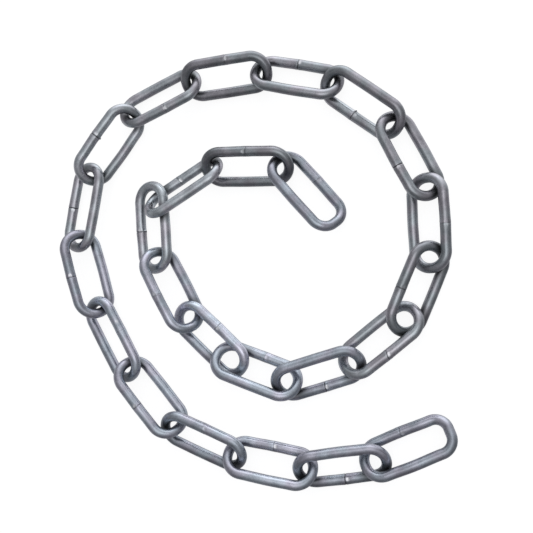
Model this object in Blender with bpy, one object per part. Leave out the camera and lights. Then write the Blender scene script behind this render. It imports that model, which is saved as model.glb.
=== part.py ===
"""One length of welded steel chain, laid on a level floor in an open coil.

Each link is one closed piece of round wire: two straight bars, two round crowns and a butt weld
half-way along one bar. A link lies with one bar along the floor and the other bar raised, because
it leans on the links that it is hooked into. Lengths are in metres, +Z is up, the floor is Z = 0
and the origin is under the middle of the coil.
"""

import math

import bmesh
import bpy
import numpy as np
from mathutils import Euler, Matrix, Vector

MM = 0.001

# The link
WIRE_DIAMETER = 5.0 * MM
INNER_LENGTH = 37.0 * MM
OUTER_WIDTH = 21.2 * MM
WIRE_RADIUS = WIRE_DIAMETER / 2
BEND_RADIUS = (OUTER_WIDTH - WIRE_DIAMETER) / 2
HALF_BAR = (INNER_LENGTH + 2 * WIRE_DIAMETER - OUTER_WIDTH) / 2

# The butt weld shows as a shallow groove round the wire
SEAM_HALF_WIDTH = 0.6 * MM
SEAM_NARROWING = 0.92

# Faces of the wire: a flat one of them lies on the floor along the lower bar
WIRE_SIDES = 12
CROWN_STEPS = 8
WIRE_FLAT = WIRE_RADIUS * math.cos(math.pi / WIRE_SIDES)

# Hooked links lie at least this far apart where they would touch, and at most this far apart where
# the photograph shows them slack
SEAT_GAP = 0.25 * MM
SLACK_GAP = 0.6 * MM
SEAT_SWEEPS = 400

# How readily a link shifts (metres), turns and leans (radians) while it is seated
SHIFT_EASE = 1.0 * MM
TURN_EASE = math.radians(2.0)
LEAN_EASE = math.radians(6.0)

# The photograph that the lay is read from, taken from almost straight above: its middle and its
# focal length in pixels, its distance from the floor's middle, and how it leans off the vertical
PHOTO_MIDDLE = 266.5
PHOTO_FOCAL = 800.0
PHOTO_DISTANCE = 391.0 * MM
PHOTO_LEAN_DOWN = math.radians(3.0)
PHOTO_LEAN_RIGHT = math.radians(14.0)

# Each link as read from the photograph, from the outer free end inwards: the pixel over its middle,
# its slant in the picture and its lean. Both are in degrees. The slant is counter-clockwise from
# the right, along the chain. A lean over 0 lifts the link's outer bar, one under 0 its inner bar.
LINKS_IN_PHOTO = [
    ((407, 448), -158, 20),
    ((342, 465), -173, -34),
    ((269, 462), 168, 26),
    ((203, 440), 155, -32),
    ((150, 396), 128, 36),
    ((113, 339), 117, -30),
    ((87, 273), 105, 42),
    ((84, 207), 80, -25),
    ((109, 145), 55, 42),
    ((160, 98), 28, -28),
    ((226, 76), 9, 35),
    ((296, 77), -9, -29),
    ((362, 102), -34, 28),
    ((410, 155), -61, -34),
    ((428, 223), -87, 21),
    ((418, 289), -112, -35),
    ((380, 339), -141, 23),
    ((318, 373), -163, -32),
    ((256, 370), 159, 30),
    ((210, 339), 136, -28),
    ((172, 289), 117, 39),
    ((153, 227), 94, -25),
    ((183, 187), 34, -46),
    ((247, 166), 1, 36),
    ((306, 190), -48, -32),
]

# A slant is carried down to the floor over this many pixels each side of the link's middle
SLANT_SPAN = 30

# Links whose weld is on the inner bar; the others have it on the outer bar
WELD_INSIDE = {1, 3, 4, 6, 10, 13, 14, 16, 19, 20}

STEEL_COLOUR = (0.30, 0.30, 0.33, 1.0)
STEEL_ROUGHNESS = 0.38


def clear_scene():
    """Remove every object that the file opened with."""
    for item in list(bpy.data.objects):
        bpy.data.objects.remove(item, do_unlink=True)


def middle_height(lean):
    """Height of a link's middle when its lower bar lies on the floor."""
    return BEND_RADIUS * abs(math.sin(lean)) + WIRE_FLAT


class Lie:
    """How one link lies: the middle of its plan, its heading and its sideways lean."""

    def __init__(self, middle, heading, lean):
        self.values = np.array([middle.x, middle.y, heading, lean])

    @property
    def heading(self):
        return self.values[2]

    @property
    def lean(self):
        return self.values[3]

    @property
    def centre(self):
        """The link's middle in the room."""
        return np.array([self.values[0], self.values[1], middle_height(self.lean)])

    @property
    def along(self):
        """Direction of the link's bars, towards the inner end of the chain."""
        return np.array([math.cos(self.heading), math.sin(self.heading), 0.0])

    @property
    def across(self):
        """Direction from the link's inner bar to its outer bar."""
        level = math.cos(self.lean)
        return np.array([-math.sin(self.heading) * level, math.cos(self.heading) * level, math.sin(self.lean)])


def room_point(pixel, height):
    """A point of the photograph, carried down to a height over the floor."""
    to_camera = Matrix.Rotation(-PHOTO_LEAN_DOWN, 3, "X") @ Matrix.Rotation(-PHOTO_LEAN_RIGHT, 3, "Y")
    to_room = to_camera.transposed()
    camera = to_room @ Vector((0.0, 0.0, PHOTO_DISTANCE))
    right = (pixel[0] - PHOTO_MIDDLE) / PHOTO_FOCAL
    up = (PHOTO_MIDDLE - pixel[1]) / PHOTO_FOCAL
    sight = to_room @ Vector((right, up, -1.0))
    return camera + sight * ((height - camera.z) / sight.z)


def read_lie(pixel, slant, lean):
    """One link's lie, as the photograph shows it."""
    lean = math.radians(lean)
    height = middle_height(lean)
    slant = math.radians(slant)
    reach = (SLANT_SPAN * math.cos(slant), -SLANT_SPAN * math.sin(slant))
    start = room_point((pixel[0] - reach[0], pixel[1] - reach[1]), height)
    stop = room_point((pixel[0] + reach[0], pixel[1] + reach[1]), height)
    heading = math.atan2(stop.y - start.y, stop.x - start.x)
    return Lie(room_point(pixel, height), heading, lean)


def wire_plan():
    """Middle of the wire once round a link, as (along, across) pairs about 1 mm apart."""
    bar = np.linspace(-HALF_BAR, HALF_BAR, 25)
    turn = np.linspace(-math.pi / 2, math.pi / 2, 3 * CROWN_STEPS + 1)
    lower = np.stack([bar, np.full_like(bar, -BEND_RADIUS)], axis=1)
    crown = np.stack([HALF_BAR + BEND_RADIUS * np.cos(turn), BEND_RADIUS * np.sin(turn)], axis=1)
    half = np.concatenate([lower, crown])
    return np.concatenate([half, -half])


WIRE_PLAN = wire_plan()


def wire_middle(lie):
    """Points along the middle of one link's wire, in the room."""
    return lie.centre + WIRE_PLAN[:, :1] * lie.along + WIRE_PLAN[:, 1:] * lie.across


def closest(first, second):
    """The two nearest points on the middles of two links' wires, and their distance."""
    a = wire_middle(first)
    b = wire_middle(second)
    spans = np.linalg.norm(a[:, None] - b[None], axis=2)
    i, j = np.unravel_index(spans.argmin(), spans.shape)
    return a[i], b[j], spans[i, j]


def point_moves(lie, point):
    """How a point of a link moves for each unit of shift, turn and lean."""
    arm = point - lie.centre
    turn = np.cross((0.0, 0.0, 1.0), arm)
    rise = BEND_RADIUS * math.cos(lie.lean) * math.copysign(1.0, lie.lean)
    lean = np.cross(lie.along, arm) + np.array([0.0, 0.0, rise])
    return np.array([(1.0, 0.0, 0.0), (0.0, 1.0, 0.0), turn, lean])


def seat_pair(first, second):
    """Ease two hooked links together, or apart, by the least moves that give a true seat."""
    a, b, span = closest(first, second)
    gap = span - WIRE_DIAMETER
    error = gap - min(max(gap, SEAT_GAP), SLACK_GAP)
    away = (a - b) / span
    pull = np.concatenate([point_moves(first, a) @ away, -point_moves(second, b) @ away])
    ease = np.square([SHIFT_EASE, SHIFT_EASE, TURN_EASE, LEAN_EASE] * 2)
    moves = -0.5 * error * ease * pull / (ease * pull * pull).sum()
    first.values += moves[:4]
    second.values += moves[4:]


def seat_links(lies):
    """Seat every link on its neighbours, a little at a time."""
    for _ in range(SEAT_SWEEPS):
        for first, second in zip(lies, lies[1:]):
            seat_pair(first, second)


def extrude_ring(mesh, ring, step, scale=1.0):
    """Carry the wire's open ring on by a step, then scale it about its own middle."""
    new = bmesh.ops.extrude_edge_only(mesh, edges=ring)["geom"]
    points = [item for item in new if isinstance(item, bmesh.types.BMVert)]
    bmesh.ops.translate(mesh, vec=(step, 0.0, 0.0), verts=points)
    middle = sum((point.co for point in points), Vector()) / len(points)
    bmesh.ops.scale(mesh, vec=(scale,) * 3, space=Matrix.Translation(-middle), verts=points)
    return [item for item in new if isinstance(item, bmesh.types.BMEdge)]


def extrude_bar(mesh, ring, direction, has_weld):
    """One straight bar, with the weld's groove round its middle where it has one."""
    if not has_weld:
        return extrude_ring(mesh, ring, direction * 2 * HALF_BAR)
    to_seam = direction * (HALF_BAR - SEAM_HALF_WIDTH)
    ring = extrude_ring(mesh, ring, to_seam)
    ring = extrude_ring(mesh, ring, direction * SEAM_HALF_WIDTH, SEAM_NARROWING)
    ring = extrude_ring(mesh, ring, direction * SEAM_HALF_WIDTH, 1 / SEAM_NARROWING)
    return extrude_ring(mesh, ring, to_seam)


def spin_crown(mesh, ring, side):
    """Half a turn of wire round one end of the link."""
    points = list({point for edge in ring for point in edge.verts})
    spun = bmesh.ops.spin(
        mesh,
        geom=points + ring,
        cent=(side * HALF_BAR, 0.0, 0.0),
        axis=(0.0, 0.0, 1.0),
        dvec=(0.0, 0.0, 0.0),
        angle=math.pi,
        steps=CROWN_STEPS,
    )
    return [item for item in spun["geom_last"] if isinstance(item, bmesh.types.BMEdge)]


def link_mesh(name, lean, weld_inside):
    """A closed link about its own middle, with X along its bars and Z square to them."""
    mesh = bmesh.new()
    upright = Matrix.Rotation(math.pi / 2, 4, "Y")
    roll = Matrix.Rotation(-abs(lean) - math.pi / WIRE_SIDES, 4, "Z")
    start = Matrix.Translation((-HALF_BAR, -BEND_RADIUS, 0.0)) @ upright @ roll
    bmesh.ops.create_circle(mesh, segments=WIRE_SIDES, radius=WIRE_RADIUS, matrix=start)
    ring = extrude_bar(mesh, list(mesh.edges), 1, weld_inside)
    ring = spin_crown(mesh, ring, 1)
    ring = extrude_bar(mesh, ring, -1, not weld_inside)
    spin_crown(mesh, ring, -1)
    bmesh.ops.remove_doubles(mesh, verts=list(mesh.verts), dist=0.001 * MM)
    bmesh.ops.recalc_face_normals(mesh, faces=list(mesh.faces))
    data = bpy.data.meshes.new(name)
    mesh.to_mesh(data)
    mesh.free()
    data.shade_smooth()
    data.set_sharp_from_angle(angle=math.radians(50))
    return data


def steel_material(name):
    """Plain drawn steel wire, mid grey and satin."""
    material = bpy.data.materials.new(name)
    material.use_nodes = True
    shader = material.node_tree.nodes["Principled BSDF"]
    shader.inputs["Base Color"].default_value = STEEL_COLOUR
    shader.inputs["Metallic"].default_value = 1.0
    shader.inputs["Roughness"].default_value = STEEL_ROUGHNESS
    return material


def add_link(number, lie, parent):
    """One link where it lies, as an object of its own."""
    name = f"link_{number:02d}"
    link = bpy.data.objects.new(name, link_mesh(name, lie.lean, number in WELD_INSIDE))
    link.data.materials.append(steel_material(f"{name}_steel"))
    link.location = lie.centre
    link.rotation_euler = Euler((lie.lean, 0.0, lie.heading))
    link.parent = parent
    bpy.context.scene.collection.objects.link(link)
    return link


def centre_plan(chain, links):
    """Move the whole chain so that the middle of its plan is over the origin."""
    bpy.context.view_layer.update()
    corners = [link.matrix_world @ vertex.co for link in links for vertex in link.data.vertices]
    for axis in (0, 1):
        values = [corner[axis] for corner in corners]
        chain.location[axis] = -(min(values) + max(values)) / 2


def build_chain():
    """The whole chain, seated link by link."""
    lies = [read_lie(*link) for link in LINKS_IN_PHOTO]
    seat_links(lies)
    chain = bpy.data.objects.new("chain", None)
    bpy.context.scene.collection.objects.link(chain)
    links = [add_link(number, lie, chain) for number, lie in enumerate(lies, start=1)]
    centre_plan(chain, links)


clear_scene()
build_chain()
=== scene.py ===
import math
from random import Random

import bmesh
import bpy
from mathutils import Matrix, Vector, noise
from mathutils.kdtree import KDTree


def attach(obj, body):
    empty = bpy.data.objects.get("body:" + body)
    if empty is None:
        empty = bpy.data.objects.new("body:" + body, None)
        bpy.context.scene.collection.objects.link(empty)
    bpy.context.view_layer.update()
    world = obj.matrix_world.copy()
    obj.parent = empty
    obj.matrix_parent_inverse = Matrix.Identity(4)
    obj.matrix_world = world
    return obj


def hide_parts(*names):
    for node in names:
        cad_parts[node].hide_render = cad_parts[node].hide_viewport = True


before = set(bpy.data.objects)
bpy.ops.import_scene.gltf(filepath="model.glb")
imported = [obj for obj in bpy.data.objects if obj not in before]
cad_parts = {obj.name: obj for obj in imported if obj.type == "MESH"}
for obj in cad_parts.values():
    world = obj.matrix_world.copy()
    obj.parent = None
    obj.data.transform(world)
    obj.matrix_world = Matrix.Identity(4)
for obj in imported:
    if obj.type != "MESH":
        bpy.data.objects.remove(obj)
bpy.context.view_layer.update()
mm = 0.001
print("frame loaded,", len(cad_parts), "links")

# How a link's two bars are told apart on its CAD node, by the area of their faces in square mm
barFaces = {"plainFrom": 12.0, "weldedFrom": 5.0}


def middleOf(faces):
    return sum((face.center for face in faces), Vector()) / len(faces)


def lieOf(node):
    # the CAD link's middle, the direction of its bars, and the way across to its welded bar
    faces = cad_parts[node].data.polygons
    plainFrom = barFaces["plainFrom"] * mm * mm
    weldedFrom = barFaces["weldedFrom"] * mm * mm
    plain = [face for face in faces if face.area > plainFrom]
    welded = [face for face in faces if weldedFrom < face.area <= plainFrom]
    first = plain[0].normal
    second = min((face.normal for face in plain), key=lambda normal: abs(normal.dot(first)))
    middle = (middleOf(plain) + middleOf(welded)) / 2
    across = (middleOf(welded) - middle).normalized()
    return middle, first.cross(second).normalized(), across


def liesOfChain():
    # every link's place as a matrix: X along its bars to the inner end, Y across to the welded bar
    lies = [lieOf(node) for node in sorted(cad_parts)]
    places = []
    for index, (middle, along, across) in enumerate(lies):
        before = lies[max(index - 1, 0)][0]
        after = lies[min(index + 1, len(lies) - 1)][0]
        if along.dot(after - before) < 0:
            along = -along
        axes = Matrix((along, across, along.cross(across))).transposed().to_4x4()
        places.append(Matrix.Translation(middle) @ axes)
    return places


# The link and its wire, in mm
linkShape = {
    "wire": 5.0,
    "halfLength": 20.85,
    "bend": 8.1,
    "sides": 48,
    "barStep": 0.8,
    "weldZone": 4.5,  # the steps are finer this near the weld
    "weldStep": 0.15,
    "weldStepGrowth": 1.15,
    "turnStep": math.radians(5.0),
    "leastFlat": 0.05,  # a squarer crown's straight end is drawn if it is longer
    "patternStep": 200,  # from one link to the next in the noise, so that no two are alike
}


class Wire:
    # the open end of the wire while a link is drawn out, ring by ring

    def __init__(self, radius, start, sides):
        self.mesh = bmesh.new()
        for name in ("turn", "run", "fromSeam", "seamShare", "ground", "clearance", "tone", "blue"):
            self.mesh.verts.layers.float.new(name)
        self.turn = self.layer("turn")
        self.run = self.layer("run")
        self.length = 0.0
        upright = Matrix.Rotation(math.pi / 2, 4, "Y")
        bmesh.ops.create_circle(
            self.mesh, segments=sides, radius=radius, matrix=Matrix.Translation(start) @ upright
        )
        for vert in self.mesh.verts:
            vert[self.turn] = math.atan2(vert.co.z, vert.co.y - start.y)
        self.ring = list(self.mesh.edges)
        self.rings = [list(self.mesh.verts)]

    def layer(self, name):
        return self.mesh.verts.layers.float[name]

    def keepRing(self, edges, step):
        self.length += step
        self.ring = edges
        verts = list({vert for edge in edges for vert in edge.verts})
        for vert in verts:
            vert[self.run] = self.length
        self.rings.append(verts)

    def drawOut(self, step):
        made = bmesh.ops.extrude_edge_only(self.mesh, edges=self.ring)["geom"]
        verts = [item for item in made if isinstance(item, bmesh.types.BMVert)]
        bmesh.ops.translate(self.mesh, vec=step, verts=verts)
        self.keepRing([item for item in made if isinstance(item, bmesh.types.BMEdge)], step.length)

    def turnRound(self, centre, angle, radius):
        geom = self.rings[-1] + self.ring
        made = bmesh.ops.spin(
            self.mesh, geom=geom, cent=centre, axis=(0, 0, -1), angle=angle, steps=1
        )["geom_last"]
        edges = [item for item in made if isinstance(item, bmesh.types.BMEdge)]
        self.keepRing(edges, angle * radius)

    def close(self):
        self.length += (ringMiddle(self.rings[-1]) - ringMiddle(self.rings[0])).length
        first = set(self.rings[0])
        start = [edge for edge in self.mesh.edges if set(edge.verts) <= first]
        bmesh.ops.bridge_loops(self.mesh, edges=self.ring + start)


def ringMiddle(ring):
    return sum((vert.co for vert in ring), Vector()) / len(ring)


def barSteps(length, fineStart, fineEnd):
    # steps along a bar, fine beside the weld and growing away from it
    fine = []
    step = linkShape["weldStep"] * mm
    while sum(fine) < linkShape["weldZone"] * mm:
        fine.append(step)
        step = min(step * linkShape["weldStepGrowth"], linkShape["barStep"] * mm)
    rest = length - sum(fine) * (fineStart + fineEnd)
    count = max(1, math.ceil(rest / (linkShape["barStep"] * mm)))
    even = [rest / count] * count
    return (fine if fineStart else []) + even + (fine[::-1] if fineEnd else [])


def drawBar(wire, side, steps):
    for step in steps:
        wire.drawOut(Vector((side * step, 0, 0)))


def drawCrown(wire, end, corner):
    # two corners and what is left of a straight end between them
    bend = linkShape["bend"] * mm
    reach = linkShape["halfLength"] * mm - corner
    flat = max(2 * (bend - corner), 0.0)
    count = round(math.pi / 2 / linkShape["turnStep"])
    for sign in (1, -1):
        centre = Vector((end * reach, sign * end * (bend - corner), 0))
        for _ in range(count):
            wire.turnRound(centre, math.pi / 2 / count, corner)
        if sign == 1 and flat > linkShape["leastFlat"] * mm:
            parts = max(1, math.ceil(flat / (linkShape["barStep"] * mm)))
            for _ in range(parts):
                wire.drawOut(Vector((0, -end * flat / parts, 0)))


# The butt weld, in mm: its upset, the groove along the seam, the ground spot beside it and its burr
weldShape = {
    "upset": 0.09,
    "upsetLength": 1.7,
    "groove": 0.2,
    "grooveLength": 0.26,
    "wobble": 0.3,  # how far the seam wanders
    "wobbleRate": 1.3,  # and how often, round the wire
    "spotDepth": 0.12,
    "spotLength": 0.85,
    "spotEdge": 2.5,  # how soon the spot is fully bare, inwards from its edge
    "spotFacing": (0.25, -0.05, 1.0),
    "spotTurn": 0.25,  # how far the spot may lie round the wire from there, in radians
    "burr": 0.75,
    "burrLength": 0.35,
    "burrReach": math.radians(38),
}

# What the photograph shows of each weld: its place along the bar and the bright ground spot's place
# from the seam, both in mm towards the inner end, how bright that spot is and how dark the seam is
weldLooks = {
    1: (0.2, -1.3, 0.5, 0.4), 2: (-0.1, -1.4, 1.0, 0.8), 3: (-0.3, -0.9, 0.9, 0.45),
    4: (0.8, -1.0, 0.2, 0.2), 5: (-0.4, 1.0, 0.8, 0.5), 6: (0.6, 5.0, 0.8, 0.2),
    7: (-0.5, 0.9, 0.9, 0.5), 8: (-1.1, -0.9, 0.4, 0.9), 9: (0.3, 1.3, 0.7, 0.8),
    10: (1.4, 0.6, 1.0, 0.4), 11: (1.5, 0.7, 1.0, 0.4), 12: (-1.4, 0.8, 0.8, 0.8),
    13: (-0.9, 0.9, 0.4, 0.8), 14: (2.5, 0.9, 0.3, 0.9), 15: (1.1, 0.7, 0.15, 0.35),
    16: (2.4, -0.9, 0.2, 0.7), 17: (0.9, -1.0, 0.7, 0.7), 18: (-0.8, -0.8, 1.0, 0.8),
    19: (-1.4, -1.0, 0.1, 0.25), 20: (0.8, -0.9, 0.8, 0.45), 21: (0.0, 1.0, 0.5, 0.2),
    22: (-1.3, 0.8, 0.6, 0.9), 23: (-1.7, 0.9, 1.0, 0.5), 24: (0.7, -0.9, 0.4, 0.4),
    25: (-1.0, 0.9, 0.2, 0.25),
}
burredWelds = {9, 13, 22}
seamSlants = {17: 0.3, 23: -0.35}  # mm along the wire for each mm across it


def seamDistance(number, run, turn):
    # distance from the seam in mm, which wanders and slants as it goes round the wire
    place = Vector((math.cos(turn), math.sin(turn), number)) * weldShape["wobbleRate"]
    slant = seamSlants.get(number, 0.0) * linkShape["wire"] / 2 * math.cos(turn)
    return run / mm - slant + weldShape["wobble"] * noise.noise(place)


def weldRelief(number, seam, turn):
    # how far the wire's skin stands proud of its round, from the seam outwards
    *_, seamDark = weldLooks[number]
    height = weldShape["upset"] * math.exp(-((seam / weldShape["upsetLength"]) ** 2))
    depth = weldShape["groove"] * seamDark
    height -= depth * math.exp(-((seam / weldShape["grooveLength"]) ** 2))
    if number in burredWelds:
        away = abs(math.remainder(turn - math.pi, 2 * math.pi))
        lobe = math.exp(-((away / weldShape["burrReach"]) ** 2))
        height += weldShape["burr"] * lobe * math.exp(-((seam / weldShape["burrLength"]) ** 2))
    return height


def groundSpot(number, seam, towards, height):
    # how deep the ground spot beside the weld cuts, and how bare it leaves the steel
    _, place, bright, _ = weldLooks[number]
    radius = linkShape["wire"] / 2
    reach = math.exp(-(((seam - place) / weldShape["spotLength"]) ** 4))
    over = (radius + height) * towards - (radius - weldShape["spotDepth"] * reach)
    if over <= 0 or towards <= 0:
        return 0.0, 0.0
    edge = min(1.0, over / weldShape["spotDepth"] * weldShape["spotEdge"])
    return over / towards, bright * reach * edge


# Small differences from link to link, in mm or as a share
linkSpread = {
    "firstSeed": 1100,
    "cornerFrom": 7.6,  # a corner radius under the bend's makes a crown squarer
    "cornerTo": 8.1,
    "bowFrom": 0.08,
    "bowTo": 0.3,
    "crownThinning": 0.035,
    "thinningReach": 0.6,  # share of the bend over which it sets in
    "wire": 0.006,
    "dent": 0.006,
    "dentLength": 2.5,
}

# Crowns that the photograph shows squarer, by link and end, as corner radii in mm
squareCrowns = {(1, "outer"): 6.4, (25, "inner"): 7.0}


def shapeWire(wire, number, random, place):
    # thinner crowns, faint dents, the weld and its ground spot, pressed into the plain rings
    radius = linkShape["wire"] / 2
    share = random.uniform(-1, 1) * linkSpread["wire"]
    facing = place.to_3x3().transposed() @ Vector(weldShape["spotFacing"])
    spotTurn = math.atan2(facing.z, facing.y)
    spotTurn += random.uniform(-weldShape["spotTurn"], weldShape["spotTurn"])
    seamLayer = wire.layer("fromSeam")
    groundLayer = wire.layer("ground")
    barEnd = (linkShape["halfLength"] - linkShape["bend"]) * mm
    easing = linkShape["bend"] * linkSpread["thinningReach"] * mm
    for ring in wire.rings:
        middle = ringMiddle(ring)
        bent = min(1.0, max(0.0, (abs(middle.x) - barEnd) / easing))
        thin = share - linkSpread["crownThinning"] * bent * bent * (3 - 2 * bent)
        for vert in ring:
            run = vert[wire.run]
            if run > wire.length / 2:
                run -= wire.length
            turn = vert[wire.turn]
            skin = Vector((math.cos(turn), math.sin(turn), 0)) * radius
            skin.z = vert[wire.run] / mm + number * linkShape["patternStep"]
            dent = noise.noise(skin / linkSpread["dentLength"])
            seam = seamDistance(number, run, turn)
            height = radius * (thin + linkSpread["dent"] * dent) + weldRelief(number, seam, turn)
            cut, bare = groundSpot(number, seam, math.cos(turn - spotTurn), height)
            out = (vert.co - middle).normalized()
            vert.co = middle + out * (radius + height - cut) * mm
            vert[seamLayer] = seam
            vert[groundLayer] = bare


def bowBars(mesh, reach, bow):
    # the bars stand a little apart at mid length
    for vert in mesh.verts:
        if abs(vert.co.x) < reach:
            swell = (1 + math.cos(math.pi * vert.co.x / reach)) / 2
            vert.co.y += math.copysign(bow * swell, vert.co.y)


def cornerOf(number, end, random):
    radius = random.uniform(linkSpread["cornerFrom"], linkSpread["cornerTo"])
    return squareCrowns.get((number, end), radius) * mm


def buildLink(number, place):
    # one link, drawn out from its weld and round to it again, then laid in its place on the floor
    random = Random(linkSpread["firstSeed"] + number)
    bend = linkShape["bend"] * mm
    length = linkShape["halfLength"] * mm
    shift = weldLooks[number][0] * mm
    innerCorner = cornerOf(number, "inner", random)
    outerCorner = cornerOf(number, "outer", random)
    wire = Wire(linkShape["wire"] / 2 * mm, Vector((shift, bend, 0)), linkShape["sides"])
    drawBar(wire, 1, barSteps(length - innerCorner - shift, True, False))
    drawCrown(wire, 1, innerCorner)
    drawBar(wire, -1, barSteps(2 * length - innerCorner - outerCorner, False, False))
    drawCrown(wire, -1, outerCorner)
    drawBar(wire, 1, barSteps(length - outerCorner + shift, False, True)[:-1])
    wire.close()
    shapeWire(wire, number, random, place)
    bow = random.uniform(linkSpread["bowFrom"], linkSpread["bowTo"]) * mm
    bowBars(wire.mesh, length - max(innerCorner, outerCorner), bow)
    markShade(wire, number)
    bmesh.ops.recalc_face_normals(wire.mesh, faces=list(wire.mesh.faces))
    bmesh.ops.transform(wire.mesh, matrix=place, verts=list(wire.mesh.verts))
    lowest = min(vert.co.z for vert in wire.mesh.verts)
    bmesh.ops.translate(wire.mesh, vec=(0, 0, -lowest), verts=list(wire.mesh.verts))
    return wire


# Links that the photograph shows paler, darker or bluer than the rest
# partly the links' own tone, partly painted light: darker where less light falls, paler where more, and
# blue where the room's light is bluer
linkShades = {
    "paler": {"links": {20, 22, 23}, "share": 1.24},
    "pale": {"links": {3, 5, 6, 7, 8, 9, 19, 21}, "share": 1.11},
    "dark": {"links": {1, 2, 4, 15, 25}, "share": 0.91},
    "darker": {"links": {12, 13, 14, 16}, "share": 0.84},
    "darkest": {"links": {11, 24}, "share": 0.68},
}
blueLinks = {1, 2, 3, 4, 5, 6, 7, 18, 19, 20, 21, 25}

# Links with one bar painted paler than the other, as painted light and shade: the share by which
# the welded bar is the paler one
unevenlyLitBars = {2: -0.08, 4: 0.17, 6: 0.09, 7: -0.16, 13: 0.16, 20: 0.18}


def markShade(wire, number):
    # a link's tone, partly painted light, even or painted a little paler on one bar, how blue it
    # is and how dark its seam is
    shares = [shade["share"] for shade in linkShades.values() if number in shade["links"]]
    tone = shares[0] if shares else 1.0
    uneven = unevenlyLitBars.get(number, 0.0)
    *_, seamDark = weldLooks[number]
    toneLayer = wire.layer("tone")
    blueLayer = wire.layer("blue")
    seamLayer = wire.layer("seamShare")
    for vert in wire.mesh.verts:
        side = max(-1.0, min(1.0, vert.co.y / (linkShape["bend"] * mm)))
        # painted light and shade: one bar drawn paler than the other
        vert[toneLayer] = tone * (1 + uneven * side)
        vert[blueLayer] = 1.0 if number in blueLinks else 0.0
        vert[seamLayer] = seamDark


def markShelter(wires):
    # how near each point lies to the next link's wire in mm, for the grime and painted shade in the
    # hooks
    for index, wire in enumerate(wires):
        near = wires[max(index - 1, 0) : index] + wires[index + 1 : index + 2]
        middles = [ringMiddle(ring) for other in near for ring in other.rings]
        tree = KDTree(len(middles))
        for number, middle in enumerate(middles):
            tree.insert(middle, number)
        tree.balance()
        layer = wire.layer("clearance")
        for vert in wire.mesh.verts:
            distance = tree.find(vert.co)[2]
            vert[layer] = distance / mm - linkShape["wire"] / 2


def skinAttribute(wire, number, data):
    # each corner's place on the wire as it was before bending, in mm: across in X and Y, along in Z
    radius = linkShape["wire"] / 2
    start = number * linkShape["patternStep"]
    attribute = data.attributes.new("straightWire", "FLOAT_VECTOR", "CORNER")
    values = []
    for face in wire.mesh.faces:
        runs = [loop.vert[wire.run] for loop in face.loops]
        wraps = max(runs) - min(runs) > wire.length / 2
        for loop, run in zip(face.loops, runs):
            turn = loop.vert[wire.turn]
            run += wire.length if wraps and run < wire.length / 2 else 0.0
            values += [radius * math.cos(turn), radius * math.sin(turn), run / mm + start]
    attribute.data.foreach_set("vector", values)


def finishLink(wire, number, material):
    name = f"steelLink_{number:02d}"
    data = bpy.data.meshes.new(name)
    wire.mesh.to_mesh(data)
    skinAttribute(wire, number, data)
    wire.mesh.free()
    data.shade_smooth()
    data.materials.append(material)
    piece = bpy.data.objects.new(name, data)
    bpy.context.scene.collection.objects.link(piece)
    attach(piece, "root")
    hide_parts(f"link_{number:02d}")
    return piece


# The steel's finish. The patterns' summed tone runs from dark over plain to pale, and the hue's
# pattern, which is the drift's in another place, from cool to warm
steelFinish = {
    "dark": (0.385, 0.395, 0.423, 1),
    "plain": (0.47, 0.48, 0.508, 1),
    "pale": (0.555, 0.565, 0.593, 1),
    "darkBelow": -0.25,
    "paleAbove": 0.28,
    "noTint": (1, 1, 1, 1),
    "blueTint": (0.965, 0.987, 1.045, 1),
    "cool": (0.955, 1.018, 1.008, 1),
    "warm": (1.033, 0.987, 1.008, 1),
    "coolBelow": 0.35,
    "warmAbove": 0.65,
    "huePlace": (40, 0, 0),
    "streakStretch": (1, 1, 0.03),
    "roughness": 0.28,
    "bumpStrength": 0.4,
    "bumpHeight": 0.025,  # mm
    "bumpStreaks": 0.3,  # the streaks' share beside the mottling
}

# Its patterns, broad to fine: size in mm of the wire's skin, how finely the noise is worked, and
# how far it swings the tone and the roughness either way
steelPatterns = {
    "drift": {"size": 8.0, "detail": 1.0, "tone": 0.45, "rough": -0.08},
    "patch": {"size": 3.2, "detail": 3.0, "tone": 0.38, "rough": 0.06},
    "mottle": {"size": 0.9, "detail": 2.0, "tone": 0.32, "rough": 0.08},
    "speck": {"size": 0.35, "detail": 1.0, "tone": 0.08},
    "streak": {"size": 0.22, "detail": 2.0, "tone": 0.3},
}

# Marks over the finish. A seam, or the hooks' grime and painted shade, sets in at its edge and is
# whole at full, both in mm from the seam's line or from the next link's wire. Where the mottling is
# low it breaks the seam up and thins the grime and painted shade
steelMarks = {
    "ground": {"colour": (0.92, 0.93, 0.95, 1), "share": 0.8, "rough": 0.06},
    "seam": {"colour": (0.06, 0.06, 0.065, 1), "edge": 0.42, "full": 0.14},
    "seamBreaks": {"goneBelow": 0.25, "wholeAbove": 0.45},
    # grime and painted shade: dark where the links shade each other in the hooks
    "grimeAndHookShade": {"colour": (0.10, 0.105, 0.105, 1), "edge": 4.6, "full": 0.4, "least": 0.6, "rough": 0.15},
}


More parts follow.
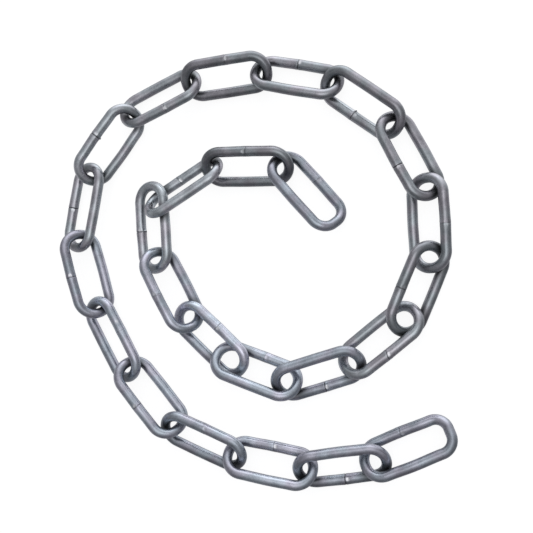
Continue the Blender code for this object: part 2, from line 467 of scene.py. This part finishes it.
class Tree:
    # short ways to add and join the nodes of a material or of the room

    def __init__(self, owner):
        self.nodes = owner.node_tree.nodes
        self.links = owner.node_tree.links

    def add(self, kind, settings=None, **inputs):
        node = self.nodes.new(kind)
        for name, value in (settings or {}).items():
            setattr(node, name, value)
        for name, value in inputs.items():
            self.feed(node.inputs[name], value)
        return node

    def feed(self, socket, value):
        if isinstance(value, bpy.types.NodeSocket):
            self.links.new(value, socket)
        else:
            socket.default_value = value

    def attribute(self, name, output="Fac"):
        return self.add("ShaderNodeAttribute", {"attribute_name": name}).outputs[output]

    def math(self, operation, first, second=0.0):
        node = self.add("ShaderNodeMath", {"operation": operation})
        self.feed(node.inputs[0], first)
        self.feed(node.inputs[1], second)
        return node.outputs[0]

    def vectorMath(self, operation, first, second):
        node = self.add("ShaderNodeVectorMath", {"operation": operation})
        self.feed(node.inputs[0], first)
        self.feed(node.inputs[1], second)
        return node.outputs["Vector"]

    def total(self, first, *others):
        for other in others:
            first = self.math("ADD", first, other)
        return first

    def ramp(self, value, low, high):
        # 0 at low and 1 at high, eased, either way round
        node = self.add("ShaderNodeMapRange", {"interpolation_type": "SMOOTHSTEP"}, Value=value)
        node.inputs["From Min"].default_value = low
        node.inputs["From Max"].default_value = high
        return node.outputs["Result"]

    def scale(self, value, low, high):
        node = self.add("ShaderNodeMapRange", None, Value=value)
        node.inputs["To Min"].default_value = low
        node.inputs["To Max"].default_value = high
        return node.outputs["Result"]

    def pattern(self, vector, name):
        settings = steelPatterns[name]
        size = 1.0 / settings["size"]
        detail = settings["detail"]
        node = self.add("ShaderNodeTexNoise", None, Vector=vector, Scale=size, Detail=detail)
        return node.outputs["Fac"]

    def mix(self, share, first, second):
        # the sockets of a colour mix share their names with others, so they go by number
        node = self.add("ShaderNodeMix", {"data_type": "RGBA"}, Factor=share)
        self.feed(node.inputs[6], first)
        self.feed(node.inputs[7], second)
        return node.outputs[2]


def steelMaterial():
    material = bpy.data.materials.new("drawnSteel")
    material.use_nodes = True
    tree = Tree(material)
    shader = tree.nodes["Principled BSDF"]
    finish = steelFinish
    skin = tree.attribute("straightWire", "Vector")
    drawn = tree.add("ShaderNodeMapping", None, Vector=skin, Scale=finish["streakStretch"])
    moved = tree.vectorMath("ADD", skin, finish["huePlace"])
    patterns = {name: tree.pattern(skin, name) for name in ("drift", "patch", "mottle", "speck")}
    patterns["streak"] = tree.pattern(drawn.outputs["Vector"], "streak")
    hue = tree.ramp(tree.pattern(moved, "drift"), finish["coolBelow"], finish["warmAbove"])

    def swing(name, part, about=0.0):
        by = steelPatterns[name][part]
        return tree.scale(patterns[name], about - by, about + by)

    # tone: patches, mottling, specks and drawing streaks, on a slow drift of tone and hue
    tone = tree.total(*(swing(name, "tone") for name in ("patch", "mottle", "speck", "streak")))
    lower = tree.mix(tree.ramp(tone, finish["darkBelow"], 0.0), finish["dark"], finish["plain"])
    colour = tree.mix(tree.ramp(tone, 0.0, finish["paleAbove"]), lower, finish["pale"])
    # the link's tone and blue tint are partly painted light and shade
    tints = (
        tree.mix(tree.attribute("blue"), finish["noTint"], finish["blueTint"]),
        tree.attribute("tone"),
        swing("drift", "tone", 1),
        tree.mix(hue, finish["cool"], finish["warm"]),
    )
    for tint in tints:
        colour = tree.vectorMath("MULTIPLY", colour, tint)

    # the ground spot, laid bare
    mark = steelMarks["ground"]
    ground = tree.attribute("ground")
    brighter = tree.math("MULTIPLY", ground, mark["rough"])
    colour = tree.mix(tree.math("MULTIPLY", ground, mark["share"]), colour, mark["colour"])

    # the seam, a dark line that the mottling breaks up
    mark = steelMarks["seam"]
    line = tree.ramp(tree.math("ABSOLUTE", tree.attribute("fromSeam")), mark["edge"], mark["full"])
    line = tree.math("MULTIPLY", line, tree.attribute("seamShare"))
    breaks = steelMarks["seamBreaks"]
    whole = tree.ramp(patterns["mottle"], breaks["goneBelow"], breaks["wholeAbove"])
    colour = tree.mix(tree.math("MULTIPLY", line, whole), colour, mark["colour"])

    # grime and painted shade in the hooks, darker where the next link's wire comes near
    mark = steelMarks["grimeAndHookShade"]
    hookShadeAndGrime = tree.ramp(tree.attribute("clearance"), mark["edge"], mark["full"])
    hookShadeAndGrime = tree.math("MULTIPLY", hookShadeAndGrime, tree.scale(patterns["mottle"], mark["least"], 1.0))
    duller = tree.math("MULTIPLY", hookShadeAndGrime, mark["rough"])
    colour = tree.mix(hookShadeAndGrime, colour, mark["colour"])
    tree.feed(shader.inputs["Base Color"], colour)

    # satin, duller in patches and in the hooks, brighter where it was ground
    swings = (swing(name, "rough") for name in ("mottle", "patch", "drift"))
    rough = tree.math("SUBTRACT", tree.total(finish["roughness"], *swings), brighter)
    tree.feed(shader.inputs["Roughness"], tree.total(rough, duller))
    shader.inputs["Metallic"].default_value = 1.0

    streaks = tree.math("MULTIPLY", patterns["streak"], finish["bumpStreaks"])
    bump = tree.add("ShaderNodeBump", None, Height=tree.total(patterns["mottle"], streaks))
    bump.inputs["Strength"].default_value = finish["bumpStrength"]
    bump.inputs["Distance"].default_value = finish["bumpHeight"] * mm
    tree.feed(shader.inputs["Normal"], bump.outputs["Normal"])
    return material


# The floor glows, so it is white up to the wire as in the photograph
floorLook = {
    "side": 6.0,
    "colour": (0.3, 0.3, 0.3, 1),
    "roughness": 0.9,
    "glowColour": (1, 1, 1, 1),
    "glow": 0.87,
}


def addFloor():
    mesh = bmesh.new()
    bmesh.ops.create_grid(mesh, x_segments=1, y_segments=1, size=floorLook["side"] / 2)
    data = bpy.data.meshes.new("floor")
    mesh.to_mesh(data)
    mesh.free()
    material = bpy.data.materials.new("paleFloor")
    material.use_nodes = True
    shader = material.node_tree.nodes["Principled BSDF"]
    shader.inputs["Base Color"].default_value = floorLook["colour"]
    shader.inputs["Roughness"].default_value = floorLook["roughness"]
    shader.inputs["Specular IOR Level"].default_value = 0.0
    shader.inputs["Emission Color"].default_value = floorLook["glowColour"]
    shader.inputs["Emission Strength"].default_value = floorLook["glow"]
    data.materials.append(material)
    floor = bpy.data.objects.new("floor", data)
    bpy.context.scene.collection.objects.link(floor)
    floor.visible_glossy = False  # the steel mirrors a dim room, as in the photograph


# A small panel lamp hung over the chain, in metres and watts
panel = {"at": (0.08, -0.02, 0.40), "to": (-0.05, -0.02, 0.0), "size": 0.28, "power": 0.12}


def addPanel():
    light = bpy.data.lights.new("panel", "AREA")
    light.size = panel["size"]
    light.energy = panel["power"]
    item = bpy.data.objects.new("panel", light)
    item.location = panel["at"]
    aim = Vector(panel["to"]) - Vector(panel["at"])
    item.rotation_euler = aim.to_track_quat("-Z", "Y").to_euler()
    item.visible_camera = False
    bpy.context.scene.collection.objects.link(item)


# The room: dim, with soft light from a window, what it throws back, the ceiling, a wall and below.
# Each comes from its way and falls off the faster from there the larger its falloff
roomLook = {"dim": (0.055, 0.055, 0.061), "backdrop": (1.0, 1.0, 1.0, 1)}
softLights = {
    "window": {"way": (0.02, 1.0, 0.15), "falloff": 5.0, "colour": (1.62, 1.63, 1.69)},
    "windowBounce": {"way": (0.5, 0.85, -0.6), "falloff": 5.0, "colour": (0.56, 0.56, 0.58)},
    "ceiling": {"way": (0.14, 0.0, 0.98), "falloff": 3.0, "colour": (0.58, 0.58, 0.60)},
    "wall": {"way": (-1.0, -0.1, -0.4), "falloff": 4.0, "colour": (0.42, 0.42, 0.43)},
    "below": {"way": (0.2, -0.25, -1.0), "falloff": 1.5, "colour": (0.28, 0.28, 0.29)},
}


def softLight(tree, way, light):
    # one light's share of the room's glow along a direction
    towards = tree.add("ShaderNodeVectorMath", {"operation": "DOT_PRODUCT"})
    tree.feed(towards.inputs[0], way)
    tree.feed(towards.inputs[1], Vector(light["way"]).normalized())
    short = tree.math("SUBTRACT", towards.outputs["Value"], 1.0)
    fall = tree.math("MULTIPLY", short, light["falloff"])
    glow = tree.add("ShaderNodeVectorMath", {"operation": "SCALE"})
    tree.feed(glow.inputs[0], light["colour"])
    tree.feed(glow.inputs["Scale"], tree.math("EXPONENT", fall))
    return glow.outputs["Vector"]


def addRoom():
    world = bpy.data.worlds.new("room")
    world.use_nodes = True
    tree = Tree(world)
    way = tree.add("ShaderNodeTexCoord").outputs["Generated"]
    glow = roomLook["dim"]
    for light in softLights.values():
        glow = tree.vectorMath("ADD", glow, softLight(tree, way, light))
    seen = tree.add("ShaderNodeLightPath").outputs["Is Camera Ray"]
    shown = tree.mix(seen, glow, roomLook["backdrop"])
    tree.feed(tree.nodes["Background"].inputs["Color"], shown)
    bpy.context.scene.world = world
    bpy.context.scene.view_settings.view_transform = "Standard"


# The photograph's view: the focal length is in its pixels, the aim is its middle on the floor
photoView = {
    "side": 533,
    "focal": 800,
    "distance": 0.391,
    "nearest": 0.01,
    "leanDown": math.radians(3),
    "leanRight": math.radians(14),
    "aim": (0.0085, 0.0006, 0.0),
}


def addCamera():
    lens = bpy.data.cameras.new("photoCamera")
    lens.sensor_fit = "HORIZONTAL"
    lens.lens = lens.sensor_width * photoView["focal"] / photoView["side"]
    lens.clip_start = photoView["nearest"]
    camera = bpy.data.objects.new("photoCamera", lens)
    lean = Matrix.Rotation(photoView["leanRight"], 4, "Y")
    lean = lean @ Matrix.Rotation(photoView["leanDown"], 4, "X")
    back = Matrix.Translation((0, 0, photoView["distance"]))
    camera.matrix_world = Matrix.Translation(photoView["aim"]) @ lean @ back
    bpy.context.scene.collection.objects.link(camera)
    bpy.context.scene.camera = camera


addCamera()
addRoom()
addFloor()
addPanel()
print("camera, room, floor and lamp set")
steel = steelMaterial()
wires = [buildLink(number, place) for number, place in enumerate(liesOfChain(), start=1)]
print("links drawn,", sum(len(wire.mesh.faces) for wire in wires), "faces")
markShelter(wires)
links = [finishLink(wire, number, steel) for number, wire in enumerate(wires, start=1)]
print("links finished,", len(links))
